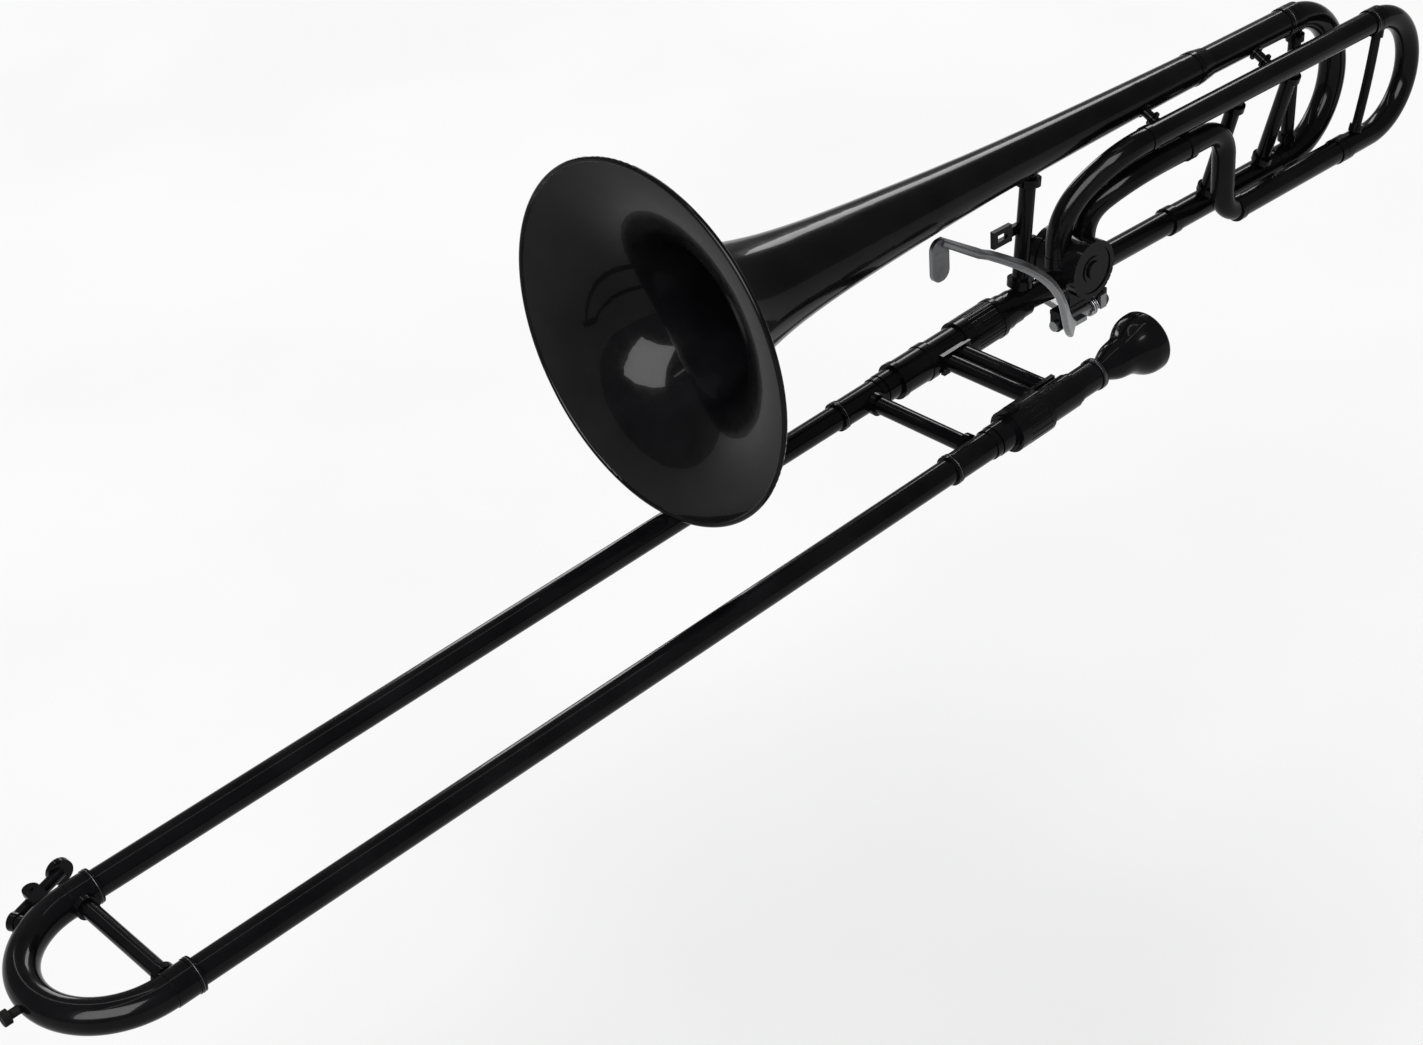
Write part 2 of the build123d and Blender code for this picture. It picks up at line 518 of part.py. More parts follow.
barrel_front = HINGE_FRONT_Y + 4.0
barrel_rear = HINGE_REAR_Y - 4.0
lever_path = Spline(
    (HINGE_X + 6.5, barrel_front + 2, HINGE_Z - 0.3),
    (HINGE_X + 15.5, 45.5, -18),
    (29, 31, 7),
    (27, 2, 42.5),
    (20, -29, 62.5),
    (9.2, -56, 78.5),
    tangents=((0.9, -0.45, 0.05), (-0.33, -0.8, 0.5)),
)
arm_stations = 30
strip_sections = []
for i in range(arm_stations + 1):
    along = i / arm_stations
    origin = lever_path @ along
    forward = lever_path % along
    outward = Vector(origin.X - HINGE_X, 0, origin.Z - HINGE_Z)
    station = Plane(origin=origin, x_dir=forward.cross(outward), z_dir=forward)
    strip_sections.append(station * RectangleRounded(11.5 - 3.5 * along, 4.2, 1.5))
lever_arm = loft(strip_sections, ruled=True)
foot = block(HINGE_X, HINGE_X + 9, barrel_front, barrel_front + 16, HINGE_Z - 1.3, HINGE_Z + 1.8)
horn_front = barrel_rear - 5.5
horn = block(HINGE_X + 4.2, HINGE_X + 6.6, horn_front, barrel_rear, HINGE_Z - 1.3, HINGE_Z + 8.4)
horn += block(HINGE_X, HINGE_X + 6.6, horn_front, barrel_rear, HINGE_Z - 1.3, HINGE_Z + 1.8)
paddle_plane = Plane(origin=(7.2, -57.25, 66.6), x_dir=(0, 1, 0), z_dir=(1, 0, 0))
paddle = extrude(paddle_plane * RectangleRounded(14.5, 28.0, 6.6), amount=2.9)

# The tail points away from the thumb, under the valve, to the drop link.
tail_x = HINGE_X - LEVER_REACH * math.cos(half_swing)
tail_z = HINGE_Z + LEVER_REACH * math.sin(half_swing)
link_y = pin_y - 1.0
tail_y0 = link_y + 3.4
tail_y1 = tail_y0 + 3.6
tail = rod_y(tail_x, tail_z, tail_y0, tail_y1, 3.2)
tail_bar = Pos(HINGE_X, (tail_y0 + tail_y1) / 2, HINGE_Z) * Rot(0, LEVER_SWING / 2, 0)
tail += tail_bar * Pos(-LEVER_REACH / 2, 0, 0) * Box(LEVER_REACH, tail_y1 - tail_y0, 4.6)
tail += rod_y(tail_x, tail_z, link_y - 3.4, tail_y1, 1.3)
barrel = rod_y(HINGE_X, HINGE_Z, barrel_front, barrel_rear, 4.2)
lever = barrel + foot + horn + tail
lever -= rod_y(HINGE_X, HINGE_Z, HINGE_FRONT_Y, HINGE_REAR_Y, AXLE_RADIUS + FIT)
lever += lever_arm
lever += paddle
save("trigger_lever", lever)

# Drop link: round eye on the lever's pin, level slot on the rotor's crank pin.
slot_front = VALVE_Y - pin_reach
slot_rear = pin_y
link = block(link_x - 1.4, link_x + 1.4, slot_front - 4.2, slot_rear + 4.2, pin_z - 4.2, pin_z + 4.2)
link += block(link_x - 1.4, link_x + 1.4, link_y - 2.8, link_y + 2.8, tail_z, pin_z)
slot = block(link_x - 3, link_x + 3, slot_front, slot_rear, pin_z - 1.85, pin_z + 1.85)
slot += rod_x(link_x - 3, link_x + 3, slot_front, pin_z, 1.85)
slot += rod_x(link_x - 3, link_x + 3, slot_rear, pin_z, 1.85)
link -= slot
eye_x = HINGE_X - LEVER_REACH * (1 + math.cos(half_swing)) / 2
link += rod_y(eye_x, tail_z, link_y - 2.8, link_y + 2.8, 3.6)
link -= rod_y(eye_x, tail_z, link_y - 8, link_y + 8, 1.85)
save("drive_link", link)

turns = 3
spring_path = Helix(pitch=1.7, height=1.7 * turns, radius=5.6)
spring_start = Plane(origin=spring_path @ 0, z_dir=spring_path % 0)
coil = sweep(spring_start * Circle(0.6), path=spring_path)
spring = Pos(HINGE_X, horn_front - 0.9, HINGE_Z) * Rot(90, 0, 0) * coil
save("trigger_spring", spring)

# ---- hand slide: fixed inner slide ----
def inner_tube(x, top):
    """Inner slide tube with its thicker stocking at the far end."""
    tube = rod_y(x, 0, INNER_END_Y, top, INNER_RADIUS)
    tube += rod_y(x, 0, INNER_END_Y, INNER_END_Y + STOCKING_LENGTH, STOCKING_RADIUS)
    return tube - rod_y(x, 0, INNER_END_Y - 1, top + 1, INNER_BORE)


save("inner_tube_bell", on_slide(inner_tube(0, -40)))
save("inner_tube_mouth", on_slide(inner_tube(SLIDE_SPACING, -39)))

barrel_cut = rod_y(0, 0, BARREL_FRONT_Y - 1, BARREL_BACK_Y - 5, 8.3)
barrel_cut += rod_y(0, 0, BARREL_BACK_Y - 6, BARREL_BACK_Y + 1, INNER_RADIUS)
barrel_neck = rod_y(0, 0, BARREL_FRONT_Y, BARREL_FRONT_Y + 12, 9.6)
cork_barrel = barrel_neck + rod_y(0, 0, BARREL_FRONT_Y + 11, BARREL_BACK_Y, 11.4)
cork_barrel += rod_y(0, 0, BARREL_FRONT_Y + 11, BARREL_FRONT_Y + 15, 12.0)
cork_barrel += rod_y(0, 0, BARREL_BACK_Y - 6, BARREL_BACK_Y, 12.0)
save("cork_barrel_bell", on_slide(cork_barrel - barrel_cut))
lock_barrel = barrel_neck + rod_y(0, 0, BARREL_FRONT_Y + 11, BARREL_BACK_Y, 11.0)
save("cork_barrel_mouth", on_slide(Pos(SLIDE_SPACING, 0, 0) * (lock_barrel - barrel_cut)))

lock_ring = rod_y(0, 0, BARREL_FRONT_Y + 12.4, BARREL_BACK_Y - 1, 13.2)
for i in range(20):
    angle = math.radians(18 * i)
    flute_x = 13.7 * math.cos(angle)
    flute_z = 13.7 * math.sin(angle)
    lock_ring -= rod_y(flute_x, flute_z, BARREL_FRONT_Y + 20, BARREL_BACK_Y - 4, 0.9)
lock_ring += block(-3, 3, BARREL_FRONT_Y + 12.4, BARREL_FRONT_Y + 20, 12, 15.5)
lock_ring -= rod_y(0, 0, BARREL_FRONT_Y, BARREL_BACK_Y, 11.3)
save("slide_lock_ring", on_slide(Pos(SLIDE_SPACING, 0, 0) * lock_ring))

tenon = rod_y(0, 0, BARREL_BACK_Y, 16, 9.0)
tenon -= rod_y(0, 0, BARREL_BACK_Y - 1, -40, INNER_RADIUS)
tenon -= rod_y(0, 0, -41, 17, INNER_BORE)
save("slide_tenon", on_slide(tenon))

receiver = rod_y(0, 0, -9, 8, 11.6)
receiver += rod_y(0, 0, 8, 17, 10.9)
receiver += rod_y(0, 0, 17, 26, 10.2)
receiver -= rod_y(0, 0, -10, 16, 9.0)
receiver -= rod_y(0, 0, 15, 27, 8.0)
save("bell_receiver", on_slide(receiver))

lock_nut = rod_y(0, 0, -35.5, 0, 13.0)
for i in range(28):
    angle = math.radians(i * 360 / 28)
    lock_nut -= rod_y(13.5 * math.cos(angle), 13.5 * math.sin(angle), -27, -4, 0.85)
lock_nut += rod_y(0, 0, -3.5, 0, 13.4)
lock_nut -= rod_y(0, 0, -36, -12, 9.3)
lock_nut -= rod_y(0, 0, -13, 1, 11.9)
save("bell_lock_nut", on_slide(lock_nut))

brace_front_y = -54.4
brace_rear_y = -41.9
sleeve_front_y = BARREL_BACK_Y + 0.3
sleeve_rear_y = -36.0
hand_brace = rod_y(0, 0, sleeve_front_y, sleeve_rear_y, 11.0)
hand_brace += rod_y(SLIDE_SPACING, 0, sleeve_front_y, sleeve_rear_y, 11.0)
for y in (brace_front_y, brace_rear_y):
    hand_brace += rod_x(4, SLIDE_SPACING - 4, y, 0, 5.5)
hand_brace += block(10, SLIDE_SPACING - 10, brace_front_y, brace_rear_y, -1.2, 1.2)
for x in (10.5, SLIDE_SPACING - 13.5):
    hand_brace += block(x, x + 3, sleeve_front_y, sleeve_rear_y, -7.0, 7.0)
hand_brace -= rod_y(0, 0, BARREL_BACK_Y - 5, -30, 9.0)
hand_brace -= rod_y(SLIDE_SPACING, 0, BARREL_BACK_Y - 5, -30, 9.2)
save("hand_brace", on_slide(hand_brace))

mouth_x = SLIDE_SPACING
shank_end = -35.0
receiver_tube = rod_y(mouth_x, 0, BARREL_BACK_Y, RECEIVER_END_Y, 9.2)
receiver_tube += rod_y(mouth_x, 0, RECEIVER_END_Y - 4, RECEIVER_END_Y, 9.9)
receiver_tube += rod_y(mouth_x, 0, sleeve_rear_y, sleeve_rear_y + 3.5, 10.0)
receiver_tube -= rod_y(mouth_x, 0, BARREL_BACK_Y - 1, -39, INNER_RADIUS)
receiver_tube -= rod_y(mouth_x, 0, -40, shank_end + 1, INNER_BORE)
shank_taper = [
    (0, shank_end - 1),
    (5.35, shank_end - 1),
    (6.45, RECEIVER_END_Y + 1),
    (0, RECEIVER_END_Y + 1),
]
receiver_tube -= turned_y(shank_taper, mouth_x, 0)
save("mouthpiece_receiver", on_slide(receiver_tube))

# ---- mouthpiece: shank, shoulder and cup ----
shank_skin = Line((5.28, shank_end, 0), (6.42, RECEIVER_END_Y + 2.0, 0))
cup_skin = Spline(
    (6.42, RECEIVER_END_Y + 2.0, 0),
    (11.4, CUP_RIM_Y - 32.0, 0),
    (13.3, CUP_RIM_Y - 21.5, 0),
    (18.4, CUP_RIM_Y - 12.0, 0),
    (19.7, CUP_RIM_Y - 3.0, 0),
    tangents=((0.25, 1, 0), (0, 1, 0)),
)
rim_curve = ThreePointArc(
    (19.7, CUP_RIM_Y - 3.0, 0), (17.4, CUP_RIM_Y, 0), (13.4, CUP_RIM_Y - 1.6, 0)
)
cup_lining = Spline(
    (13.4, CUP_RIM_Y - 1.6, 0),
    (12.3, CUP_RIM_Y - 8.0, 0),
    (9.4, CUP_RIM_Y - 16.5, 0),
    (3.4, CUP_RIM_Y - 26.0, 0),
)
backbore = Line((3.4, CUP_RIM_Y - 26.0, 0), (4.4, shank_end, 0))
closing = Line((4.4, shank_end, 0), (5.28, shank_end, 0))
cup_wire = Wire([closing, shank_skin, cup_skin, rim_curve, cup_lining, backbore])
mouthpiece = Pos(mouth_x, 0, 0) * revolve(make_face(cup_wire), axis=Axis.Y)
save("mouthpiece", on_slide(mouthpiece))

# ---- hand slide: moving outer slide ----
for name, x in (("outer_tube_bell", 0.0), ("outer_tube_mouth", SLIDE_SPACING)):
    save(name, on_slide(pipe_y(x, 0, OUTER_END_Y, OUTER_TOP_Y, OUTER_RADIUS, OUTER_BORE)))
for name, x in (("hand_sleeve_bell", 0.0), ("hand_sleeve_mouth", SLIDE_SPACING)):
    sleeve = rod_y(x, 0, -141, -104, 8.6)
    sleeve += rod_y(x, 0, -141, -137, 9.3)
    sleeve += rod_y(x, 0, -108, -104, 9.3)
    sleeve -= rod_y(x, 0, -142, -103, OUTER_RADIUS)
    save(name, on_slide(sleeve))
outer_brace = rod_x(2, SLIDE_SPACING - 2, BRACE_Y, 0, 5.4)
outer_brace += rod_x(8, 11.5, BRACE_Y, 0, 7.2)
outer_brace += rod_x(SLIDE_SPACING - 11.5, SLIDE_SPACING - 8, BRACE_Y, 0, 7.2)
outer_brace -= rod_y(0, 0, -141, -103, 8.6)
outer_brace -= rod_y(SLIDE_SPACING, 0, -141, -103, 8.6)
save("outer_brace", on_slide(outer_brace))

crook_y = OUTER_END_Y - 1.0
half_spacing = SLIDE_SPACING / 2
bow_arc = ThreePointArc(
    (0, BOW_BEND_Y, 0),
    (half_spacing, BOW_BEND_Y - half_spacing, 0),
    (SLIDE_SPACING, BOW_BEND_Y, 0),
)
bow_crook = tube_along(bow_arc, CROOK_RADIUS, 7.2)
bow_start = Plane(origin=bow_arc @ 0, z_dir=bow_arc % 0)
bow_fill = sweep(bow_start * Circle(CROOK_RADIUS), path=bow_arc)
for x in (0.0, SLIDE_SPACING):
    bow_crook += pipe_y(x, 0, BOW_BEND_Y, crook_y, CROOK_RADIUS, 7.2)
    bow_crook += pipe_y(x, 0, crook_y - 1, crook_y + 14, 9.4, 7.3)
    bow_crook += pipe_y(x, 0, crook_y + 11, crook_y + 14, 9.8, 7.3)
    bow_crook -= rod_y(x, 0, OUTER_END_Y, crook_y + 15, OUTER_RADIUS)
    bow_fill += rod_y(x, 0, BOW_BEND_Y, crook_y + 14, 9.8)
save("bow_crook", on_slide(bow_crook))
bow_brace_y = crook_y + 3.0
bow_brace = rod_x(2, SLIDE_SPACING - 2, bow_brace_y, 0, 4.6)
bow_brace += rod_x(8.5, 12.5, bow_brace_y, 0, 6.4)
bow_brace += rod_x(SLIDE_SPACING - 12.5, SLIDE_SPACING - 8.5, bow_brace_y, 0, 6.4)
save("bow_brace", on_slide(bow_brace - bow_fill))

bow_tip_y = BOW_BEND_Y - half_spacing - CROOK_RADIUS
bow_bumper = rod_y(half_spacing, 0, bow_tip_y - 5.0, bow_tip_y + 1.5, 2.4)
bow_bumper += rod_y(half_spacing, 0, bow_tip_y - 9.0, bow_tip_y - 5.0, 4.0)
bow_bumper -= bow_fill
save("bow_bumper", on_slide(bow_bumper))

# ---- water key on the outside of the bow ----
key_x = -15.5
key_y = BOW_BEND_Y - 10.0
vent_angle = math.radians(25)
out_x = -math.cos(vent_angle)
out_y = -math.sin(vent_angle)


def above_vent(height):
    """Point on the vent's own axis, a height above the bow's outer skin."""
    reach = half_spacing + CROOK_RADIUS + height
    return (half_spacing + reach * out_x, BOW_BEND_Y + reach * out_y, 0)


nipple = bar_between(above_vent(-2.0), above_vent(2.0), 4.0)
nipple -= bar_between(above_vent(-3.0), above_vent(3.0), 1.6)
save("water_key_nipple", on_slide(nipple - bow_fill))
post = block(key_x, -5, key_y - 4.5, key_y + 4.5, -6.6, -4.2)
post += block(key_x, -5, key_y - 4.5, key_y + 4.5, 4.2, 6.6)
post += rod_z(key_x, key_y, -6.6, -4.2, 4.5)
post += rod_z(key_x, key_y, 4.2, 6.6, 4.5)
post += block(-9.8, -5, key_y - 4.5, key_y + 4.5, -6.6, 6.6)
post += rod_z(key_x, key_y, -7.6, 7.6, 1.25)
save("water_key_post", on_slide(post - bow_fill))

key_pad = bar_between(above_vent(2.3), above_vent(4.6), 3.8)
save("water_key_pad", on_slide(key_pad))
pad_well = bar_between(above_vent(-2.0), above_vent(4.6), 3.8)
arm_tip = above_vent(6.6)
plate_x = key_x - 7.5
plate_y = key_y + 19.0
key = bar_between(above_vent(2.6), above_vent(6.6), 4.9)
key += bar_between((key_x, key_y, 0), arm_tip, 2.8)
key += rod_z(key_x, key_y, -3.9, 3.9, 3.6)
key += bar_between((key_x, key_y, 0), (plate_x + 1.0, plate_y, 0), 3.2)
key += Pos(plate_x, plate_y, 0) * Rot(0, 90, 24) * Cylinder(7.0, 3.0)
key -= pad_well
key -= rod_z(key_x, key_y, -9, 9, 1.3)
save("water_key_lever", on_slide(key))
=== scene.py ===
import json
import math

import bpy
from mathutils import Matrix, Vector


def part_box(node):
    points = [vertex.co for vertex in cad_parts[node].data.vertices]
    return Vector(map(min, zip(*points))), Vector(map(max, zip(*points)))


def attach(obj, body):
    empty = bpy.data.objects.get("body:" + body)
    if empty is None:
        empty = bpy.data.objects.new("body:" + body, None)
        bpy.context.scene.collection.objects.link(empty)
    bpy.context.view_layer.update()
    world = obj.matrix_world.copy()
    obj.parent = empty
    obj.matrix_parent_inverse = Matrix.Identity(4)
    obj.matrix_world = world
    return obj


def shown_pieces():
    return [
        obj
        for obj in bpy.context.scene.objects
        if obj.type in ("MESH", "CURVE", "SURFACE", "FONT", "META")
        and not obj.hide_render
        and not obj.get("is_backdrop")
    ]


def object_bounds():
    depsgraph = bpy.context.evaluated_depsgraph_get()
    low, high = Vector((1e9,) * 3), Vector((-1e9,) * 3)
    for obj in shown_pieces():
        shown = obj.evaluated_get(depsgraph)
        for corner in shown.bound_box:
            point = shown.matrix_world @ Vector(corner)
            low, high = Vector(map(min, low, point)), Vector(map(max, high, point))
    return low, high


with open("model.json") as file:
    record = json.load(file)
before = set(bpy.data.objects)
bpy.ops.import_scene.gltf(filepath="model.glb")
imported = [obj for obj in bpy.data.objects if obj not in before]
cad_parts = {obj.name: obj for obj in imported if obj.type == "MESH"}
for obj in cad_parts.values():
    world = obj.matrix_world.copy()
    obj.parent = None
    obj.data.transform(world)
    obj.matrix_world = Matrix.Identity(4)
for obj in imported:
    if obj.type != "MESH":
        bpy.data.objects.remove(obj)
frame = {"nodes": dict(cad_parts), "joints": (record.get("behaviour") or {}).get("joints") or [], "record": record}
cad_low, cad_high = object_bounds()
MM = 0.001

# ---- camera: where it stands relative to the bell lock, which is the frame's origin ----
VIEW_AZIMUTH = math.radians(49.97)
VIEW_ELEVATION = math.radians(33.22)
VIEW_ROLL = math.radians(-4.91)
VIEW_DISTANCE = 1.4386
VIEW_AIM = Vector((0.0299, -0.2694, -0.0059))
LENS_MM = 64.77
SENSOR_MM = 36.0

# ---- studio: metres, degrees and watts ----
FLOOR_DROP = 0.42
FLOOR_HALF = 60.0
FLOOR_LIGHT = 2.3
FLOOR_LIGHT_ANGLE = 70.0
SURROUND_LIGHT = 0.32
LIGHT_AIM = Vector((0.0, -0.27, 0.10))

# ---- lacquer: linear colours and roughness ----
LACQUER_BASE = (0.0008, 0.0008, 0.0010)
LACQUER_HAZE = (0.0020, 0.0020, 0.0023)
LACQUER_ROUGH = (0.16, 0.26)
COAT_WEIGHT = 0.22
COAT_IOR = 1.33

# ---- fine rings: reach along the slide from the bell lock, and tube radius, in millimetres ----
SLEEVE_RING_REACH = 139.0
SLEEVE_RADIUS = 9.3
FERRULE_RING_REACH = 663.5
FERRULE_RADIUS = 9.8
RECEIVER_RING_REACH = 13.0
RECEIVER_RADIUS = 9.9
RECEIVER_RING_WIDTH = 2.2
FINE_RING_WIDTH = 0.5
RING_HEIGHT = 0.16
RING_SINK = 0.15
RING_SEGMENTS = 96
RING_ARC_STEPS = 8
LEG_RING_INSET = 3.5

# ---- the water key's wound spring, in millimetres ----
KEY_SPRING_TURNS = 3
KEY_SPRING_STEPS = 24
KEY_SPRING_RADIUS = 3.95
KEY_SPRING_PITCH = 0.62
KEY_SPRING_WIRE = 0.24


# ---- node helpers ----
def new_material(name):
    """A material with an empty tree and a Principled shader joined to the output."""
    material = bpy.data.materials.new(name)
    material.use_nodes = True
    nodes = material.node_tree.nodes
    nodes.clear()
    output = nodes.new("ShaderNodeOutputMaterial")
    shader = nodes.new("ShaderNodeBsdfPrincipled")
    material.node_tree.links.new(shader.outputs["BSDF"], output.inputs["Surface"])
    return material, shader


def add_noise(material, scale, detail=4.0, stretch=(1.0, 1.0, 1.0)):
    """Noise in object space, stretched along an axis for drawn or brushed metal."""
    nodes = material.node_tree.nodes
    links = material.node_tree.links
    place = nodes.new("ShaderNodeTexCoord")
    mapping = nodes.new("ShaderNodeMapping")
    mapping.inputs["Scale"].default_value = stretch
    noise = nodes.new("ShaderNodeTexNoise")
    noise.inputs["Scale"].default_value = scale
    noise.inputs["Detail"].default_value = detail
    links.new(place.outputs["Object"], mapping.inputs["Vector"])
    links.new(mapping.outputs["Vector"], noise.inputs["Vector"])
    return noise.outputs["Fac"]


def vary(material, source, low, high, start=0.3, end=0.7):
    """Maps a noise onto a range of values."""
    ramp = material.node_tree.nodes.new("ShaderNodeMapRange")
    ramp.inputs["From Min"].default_value = start
    ramp.inputs["From Max"].default_value = end
    ramp.inputs["To Min"].default_value = low
    ramp.inputs["To Max"].default_value = high
    material.node_tree.links.new(source, ramp.inputs["Value"])
    return ramp.outputs["Result"]


def tint(material, source, first, second, start=0.35, end=0.65):
    """Mixes two colours by a noise."""
    ramp = material.node_tree.nodes.new("ShaderNodeValToRGB")
    ramp.color_ramp.elements[0].position = start
    ramp.color_ramp.elements[0].color = (*first, 1.0)
    ramp.color_ramp.elements[1].position = end
    ramp.color_ramp.elements[1].color = (*second, 1.0)
    material.node_tree.links.new(source, ramp.inputs["Fac"])
    return ramp.outputs["Color"]


def add_bump(material, shader, source, strength, depth_mm, socket="Normal"):
    """Fine relief from a noise, given as a real depth."""
    bump = material.node_tree.nodes.new("ShaderNodeBump")
    bump.inputs["Strength"].default_value = strength
    bump.inputs["Distance"].default_value = depth_mm * MM
    material.node_tree.links.new(source, bump.inputs["Height"])
    material.node_tree.links.new(bump.outputs["Normal"], shader.inputs[socket])


# ---- finishes ----
def gloss_lacquer(name):
    """Gloss black lacquer over brass: clear coat, faint haze, orange peel and fine polishing marks."""
    material, shader = new_material(name)
    links = material.node_tree.links
    clouds = add_noise(material, 28.0, 5.0)
    links.new(tint(material, clouds, LACQUER_BASE, LACQUER_HAZE), shader.inputs["Base Color"])
    marks = add_noise(material, 240.0, 6.0, (1.0, 0.12, 1.0))
    links.new(vary(material, marks, *LACQUER_ROUGH), shader.inputs["Roughness"])
    shader.inputs["Specular IOR Level"].default_value = 0.03
    shader.inputs["Coat Weight"].default_value = COAT_WEIGHT
    shader.inputs["Coat Roughness"].default_value = 0.03
    shader.inputs["Coat IOR"].default_value = COAT_IOR
    peel = add_noise(material, 420.0, 2.0)
    add_bump(material, shader, peel, 0.15, 0.01)
    add_bump(material, shader, peel, 0.05, 0.004, "Coat Normal")
    return material


def plated_metal(name, colour, shade, rough, grain=(1.0, 0.05, 1.0), relief=0.02):
    """Drawn, plated or brushed metal with a grain along its length and slight tarnish."""
    material, shader = new_material(name)
    links = material.node_tree.links
    clouds = add_noise(material, 45.0, 5.0)
    links.new(tint(material, clouds, colour, shade), shader.inputs["Base Color"])
    shader.inputs["Metallic"].default_value = 1.0
    streaks = add_noise(material, 900.0, 4.0, grain)
    links.new(vary(material, streaks, *rough), shader.inputs["Roughness"])
    add_bump(material, shader, streaks, 0.3, relief)
    return material


def black_rubber(name):
    """Moulded rubber: dull, slightly grainy, with faint paler clouds."""
    material, shader = new_material(name)
    links = material.node_tree.links
    clouds = add_noise(material, 160.0, 4.0)
    colour = tint(material, clouds, (0.002, 0.002, 0.002), (0.005, 0.005, 0.0047))
    links.new(colour, shader.inputs["Base Color"])
    links.new(vary(material, clouds, 0.55, 0.8), shader.inputs["Roughness"])
    shader.inputs["Specular IOR Level"].default_value = 0.04
    grain = add_noise(material, 2200.0, 3.0)
    add_bump(material, shader, grain, 0.5, 0.05)
    return material


FINISHES = {
    "black_lacquer": gloss_lacquer("gloss_black_lacquer"),
    "chrome_plate": plated_metal("chrome_plate", (0.62, 0.63, 0.65), (0.55, 0.56, 0.58), (0.04, 0.10)),
    "raw_brass": plated_metal("drawn_brass", (0.66, 0.49, 0.22), (0.48, 0.33, 0.14), (0.22, 0.38)),
    "satin_nickel": plated_metal("satin_nickel", (0.19, 0.192, 0.197), (0.135, 0.137, 0.142), (0.3, 0.44)),
    "spring_steel": plated_metal("spring_steel", (0.32, 0.32, 0.33), (0.22, 0.22, 0.24), (0.25, 0.4)),
    "cork_rubber": black_rubber("black_rubber"),
}
RING_FINISH = plated_metal("dull_ring_plate", (0.06, 0.061, 0.064), (0.04, 0.041, 0.044), (0.3, 0.42))
slot_of = {part["node"]: part["material_slot"] for part in frame["record"]["subparts"]}
for node, part in frame["nodes"].items():
    part.data.materials.clear()
    part.data.materials.append(FINISHES[slot_of[node]])


# ---- fine rings at the joints, and the water key's spring ----
mounts = {mount["name"]: mount for mount in frame["record"]["mounts"]}
slide_axis = Vector(mounts["bow_rest"]["axis"]).normalized()
tube_axis = Vector((0.0, 1.0, 0.0))


def slide_point(x, reach_mm):
    """A point on a slide tube's axis, that far from the bell lock towards the bow."""
    return Vector((x, 0.0, 0.0)) + slide_axis * (reach_mm * MM)


def ring_profile(radius_mm, width_mm):
    """Outline of a ring's section: a low crown over a tube, as pairs of reach along it and radius."""
    half = width_mm / 2
    profile = [(-half, radius_mm - RING_SINK)]
    for step in range(RING_ARC_STEPS + 1):
        angle = math.pi * step / RING_ARC_STEPS
        profile.append((-math.cos(angle) * half, radius_mm + math.sin(angle) * RING_HEIGHT))
    profile.append((half, radius_mm - RING_SINK))
    return profile


def add_band(name, body, centre, axis, radius_mm, width_mm=FINE_RING_WIDTH):
    """A thin crowned ring that stands a little proud of a tube: a closed lathed mesh."""
    side = axis.orthogonal().normalized()
    other = axis.cross(side)
    profile = ring_profile(radius_mm, width_mm)
    count = len(profile)
    points = []
    faces = []
    for turn in range(RING_SEGMENTS):
        angle = 2 * math.pi * turn / RING_SEGMENTS
        outward = side * math.cos(angle) + other * math.sin(angle)
        points += [centre + axis * (along * MM) + outward * (radius * MM) for along, radius in profile]
        here = turn * count
        after = (turn + 1) % RING_SEGMENTS * count
        for k in range(count):
            n = (k + 1) % count
            faces.append((here + k, here + n, after + n, after + k))
    mesh = bpy.data.meshes.new(name)
    mesh.from_pydata(points, [], faces)
    mesh.polygons.foreach_set("use_smooth", [True] * len(faces))
    mesh.materials.append(RING_FINISH)
    band = bpy.data.objects.new(name, mesh)
    bpy.context.scene.collection.objects.link(band)
    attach(band, body)


def tube_centre(node, end):
    """The middle of a tube's end, for a tube that runs along Y."""
    low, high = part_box(node)
    return Vector(((low.x + high.x) / 2, end, (low.z + high.z) / 2))


def tube_radius_mm(node):
    """The outer radius of a tube that runs along Y."""
    low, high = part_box(node)
    return (high.x - low.x) / 2 / MM


mouth_x = (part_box("outer_tube_mouth")[0].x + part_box("outer_tube_mouth")[1].x) / 2
for side_name, x in (("bell", 0.0), ("mouth", mouth_x)):
    sleeve_end = slide_point(x, SLEEVE_RING_REACH)
    ferrule_end = slide_point(x, FERRULE_RING_REACH)
    add_band(f"sleeve_ring_{side_name}", "hand_slide", sleeve_end, slide_axis, SLEEVE_RADIUS)
    add_band(f"ferrule_ring_{side_name}", "hand_slide", ferrule_end, slide_axis, FERRULE_RADIUS)
receiver_end = slide_point(mouth_x, RECEIVER_RING_REACH)
add_band("receiver_ring", "bell_section", receiver_end, slide_axis, RECEIVER_RADIUS, RECEIVER_RING_WIDTH)
for node, name in (("upper_leg", "tail_ring"), ("loop_upper_leg", "loop_ring")):
    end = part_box(node)[1].y - LEG_RING_INSET * MM
    add_band(name, "bell_section", tube_centre(node, end), tube_axis, tube_radius_mm(node))


def wound_wire(centre, axis, side):
    """Points of a short helix round an axis."""
    other = axis.cross(side)
    total = KEY_SPRING_TURNS * KEY_SPRING_STEPS
    points = []
    for step in range(total + 1):
        angle = 2 * math.pi * step / KEY_SPRING_STEPS
        lift = (step / total - 0.5) * KEY_SPRING_TURNS * KEY_SPRING_PITCH * MM
        outward = side * math.cos(angle) + other * math.sin(angle)
        points.append(centre + axis * lift + outward * (KEY_SPRING_RADIUS * MM))
    return points


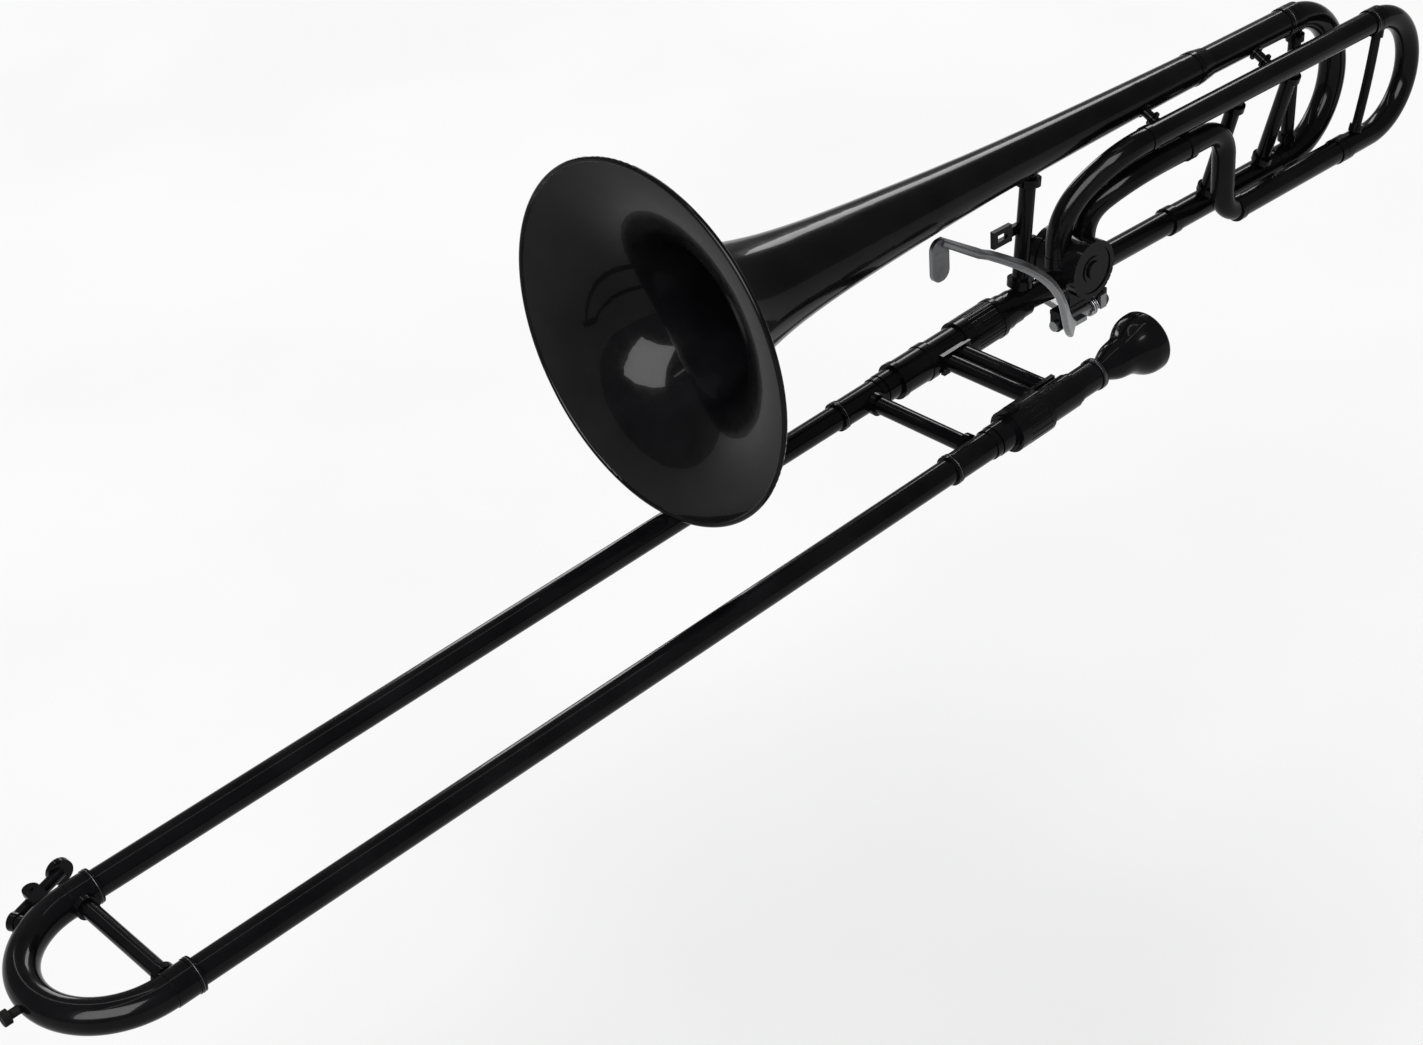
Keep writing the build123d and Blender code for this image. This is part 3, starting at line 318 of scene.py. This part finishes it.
def add_key_spring():
    """Wound wire round the water key's pivot, held by the post on the bow."""
    pivot = next(joint for joint in frame["joints"] if joint["name"] == "water_key_press")
    points = wound_wire(Vector(pivot["pos_m"]), Vector(pivot["axis"]).normalized(), slide_axis)
    curve = bpy.data.curves.new("water_key_spring", "CURVE")
    curve.dimensions = "3D"
    curve.bevel_depth = KEY_SPRING_WIRE * MM
    curve.bevel_resolution = 4
    curve.use_fill_caps = True
    spline = curve.splines.new("POLY")
    spline.points.add(len(points) - 1)
    for spot, point in zip(spline.points, points):
        spot.co = (*point, 1.0)
    curve.materials.append(FINISHES["spring_steel"])
    spring = bpy.data.objects.new("water_key_spring", curve)
    bpy.context.scene.collection.objects.link(spring)
    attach(spring, "hand_slide")


add_key_spring()


# ---- room, lights and camera ----
def outlook(azimuth, elevation):
    """Unit vector from the instrument towards a camera or light, for angles in radians."""
    return Vector((
        math.sin(azimuth) * math.cos(elevation),
        -math.cos(azimuth) * math.cos(elevation),
        math.sin(elevation),
    ))


def add_softbox(name, azimuth, elevation, distance, size, power, subject):
    """A soft rectangular light that lights the subject: angles in degrees, power in watts."""
    lamp = bpy.data.lights.new(name, "AREA")
    lamp.shape = "RECTANGLE"
    lamp.size, lamp.size_y = size
    lamp.energy = power
    holder = bpy.data.objects.new(name, lamp)
    back = outlook(math.radians(azimuth), math.radians(elevation))
    holder.location = LIGHT_AIM + back * distance
    holder.rotation_mode = "QUATERNION"
    holder.rotation_quaternion = (-back).to_track_quat("-Z", "Y")
    bpy.context.scene.collection.objects.link(holder)
    holder.light_linking.receiver_collection = subject


def build_floor(height):
    """A wide pale floor with a faint mottle."""
    sides = ((-1, -1), (1, -1), (1, 1), (-1, 1))
    corners = [(x * FLOOR_HALF, y * FLOOR_HALF, height) for x, y in sides]
    mesh = bpy.data.meshes.new("floor")
    mesh.from_pydata(corners, [], [(0, 1, 2, 3)])
    floor = bpy.data.objects.new("floor", mesh)
    bpy.context.scene.collection.objects.link(floor)
    material, shader = new_material("pale_floor")
    mottle = add_noise(material, 2.0, 3.0)
    colour = tint(material, mottle, (0.90, 0.90, 0.90), (0.93, 0.93, 0.93))
    material.node_tree.links.new(colour, shader.inputs["Base Color"])
    shader.inputs["Roughness"].default_value = 0.9
    shader.inputs["Specular IOR Level"].default_value = 0.1
    mesh.materials.append(material)
    floor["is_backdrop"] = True
    return floor


def light_floor(floor):
    """Even soft light on the floor alone, so that it stays pale and the lacquer stays black."""
    lamp = bpy.data.lights.new("floor_light", "SUN")
    lamp.energy = FLOOR_LIGHT
    lamp.angle = math.radians(FLOOR_LIGHT_ANGLE)
    holder = bpy.data.objects.new("floor_light", lamp)
    bpy.context.scene.collection.objects.link(holder)
    lit = bpy.data.collections.new("lit_by_floor_light")
    lit.objects.link(floor)
    holder.light_linking.receiver_collection = lit


def build_camera():
    """The camera at its viewing angle, with a slight roll."""
    back = outlook(VIEW_AZIMUTH, VIEW_ELEVATION)
    level = Vector((0, 0, 1)).cross(back).normalized()
    upright = back.cross(level)
    right = level * math.cos(VIEW_ROLL) + upright * math.sin(VIEW_ROLL)
    up = upright * math.cos(VIEW_ROLL) - level * math.sin(VIEW_ROLL)
    data = bpy.data.cameras.new("camera")
    data.sensor_width = SENSOR_MM
    data.lens = LENS_MM
    data.clip_start = 0.05
    data.clip_end = 60.0
    camera = bpy.data.objects.new("camera", data)
    bpy.context.scene.collection.objects.link(camera)
    place = Matrix((right, up, back)).transposed().to_4x4()
    place.translation = VIEW_AIM + back * VIEW_DISTANCE
    camera.matrix_world = place
    bpy.context.scene.camera = camera


def build_world(brightness):
    """Even dim light from every side, so that black surfaces stay black."""
    world = bpy.data.worlds.new("studio")
    world.use_nodes = True
    background = world.node_tree.nodes["Background"]
    background.inputs["Color"].default_value = (1.0, 1.0, 1.0, 1.0)
    background.inputs["Strength"].default_value = brightness
    bpy.context.scene.world = world


floor = build_floor(cad_low.z - FLOOR_DROP)
light_floor(floor)
build_world(SURROUND_LIGHT)
instrument = bpy.data.collections.new("instrument")
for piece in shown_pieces():
    instrument.objects.link(piece)
add_softbox("key", 30, 38, 2.2, (1.75, 1.6), 140.0, instrument)
add_softbox("strip", -80, 55, 2.4, (0.10, 2.2), 6.0, instrument)
add_softbox("overhead", 0, 89, 2.8, (0.14, 2.6), 8.0, instrument)
add_softbox("far_side", 215, 30, 2.6, (1.1, 0.5), 24.0, instrument)
add_softbox("end_fill", -115, 12, 2.4, (0.5, 0.9), 12.0, instrument)
bpy.context.scene.view_settings.view_transform = "Standard"
build_camera()
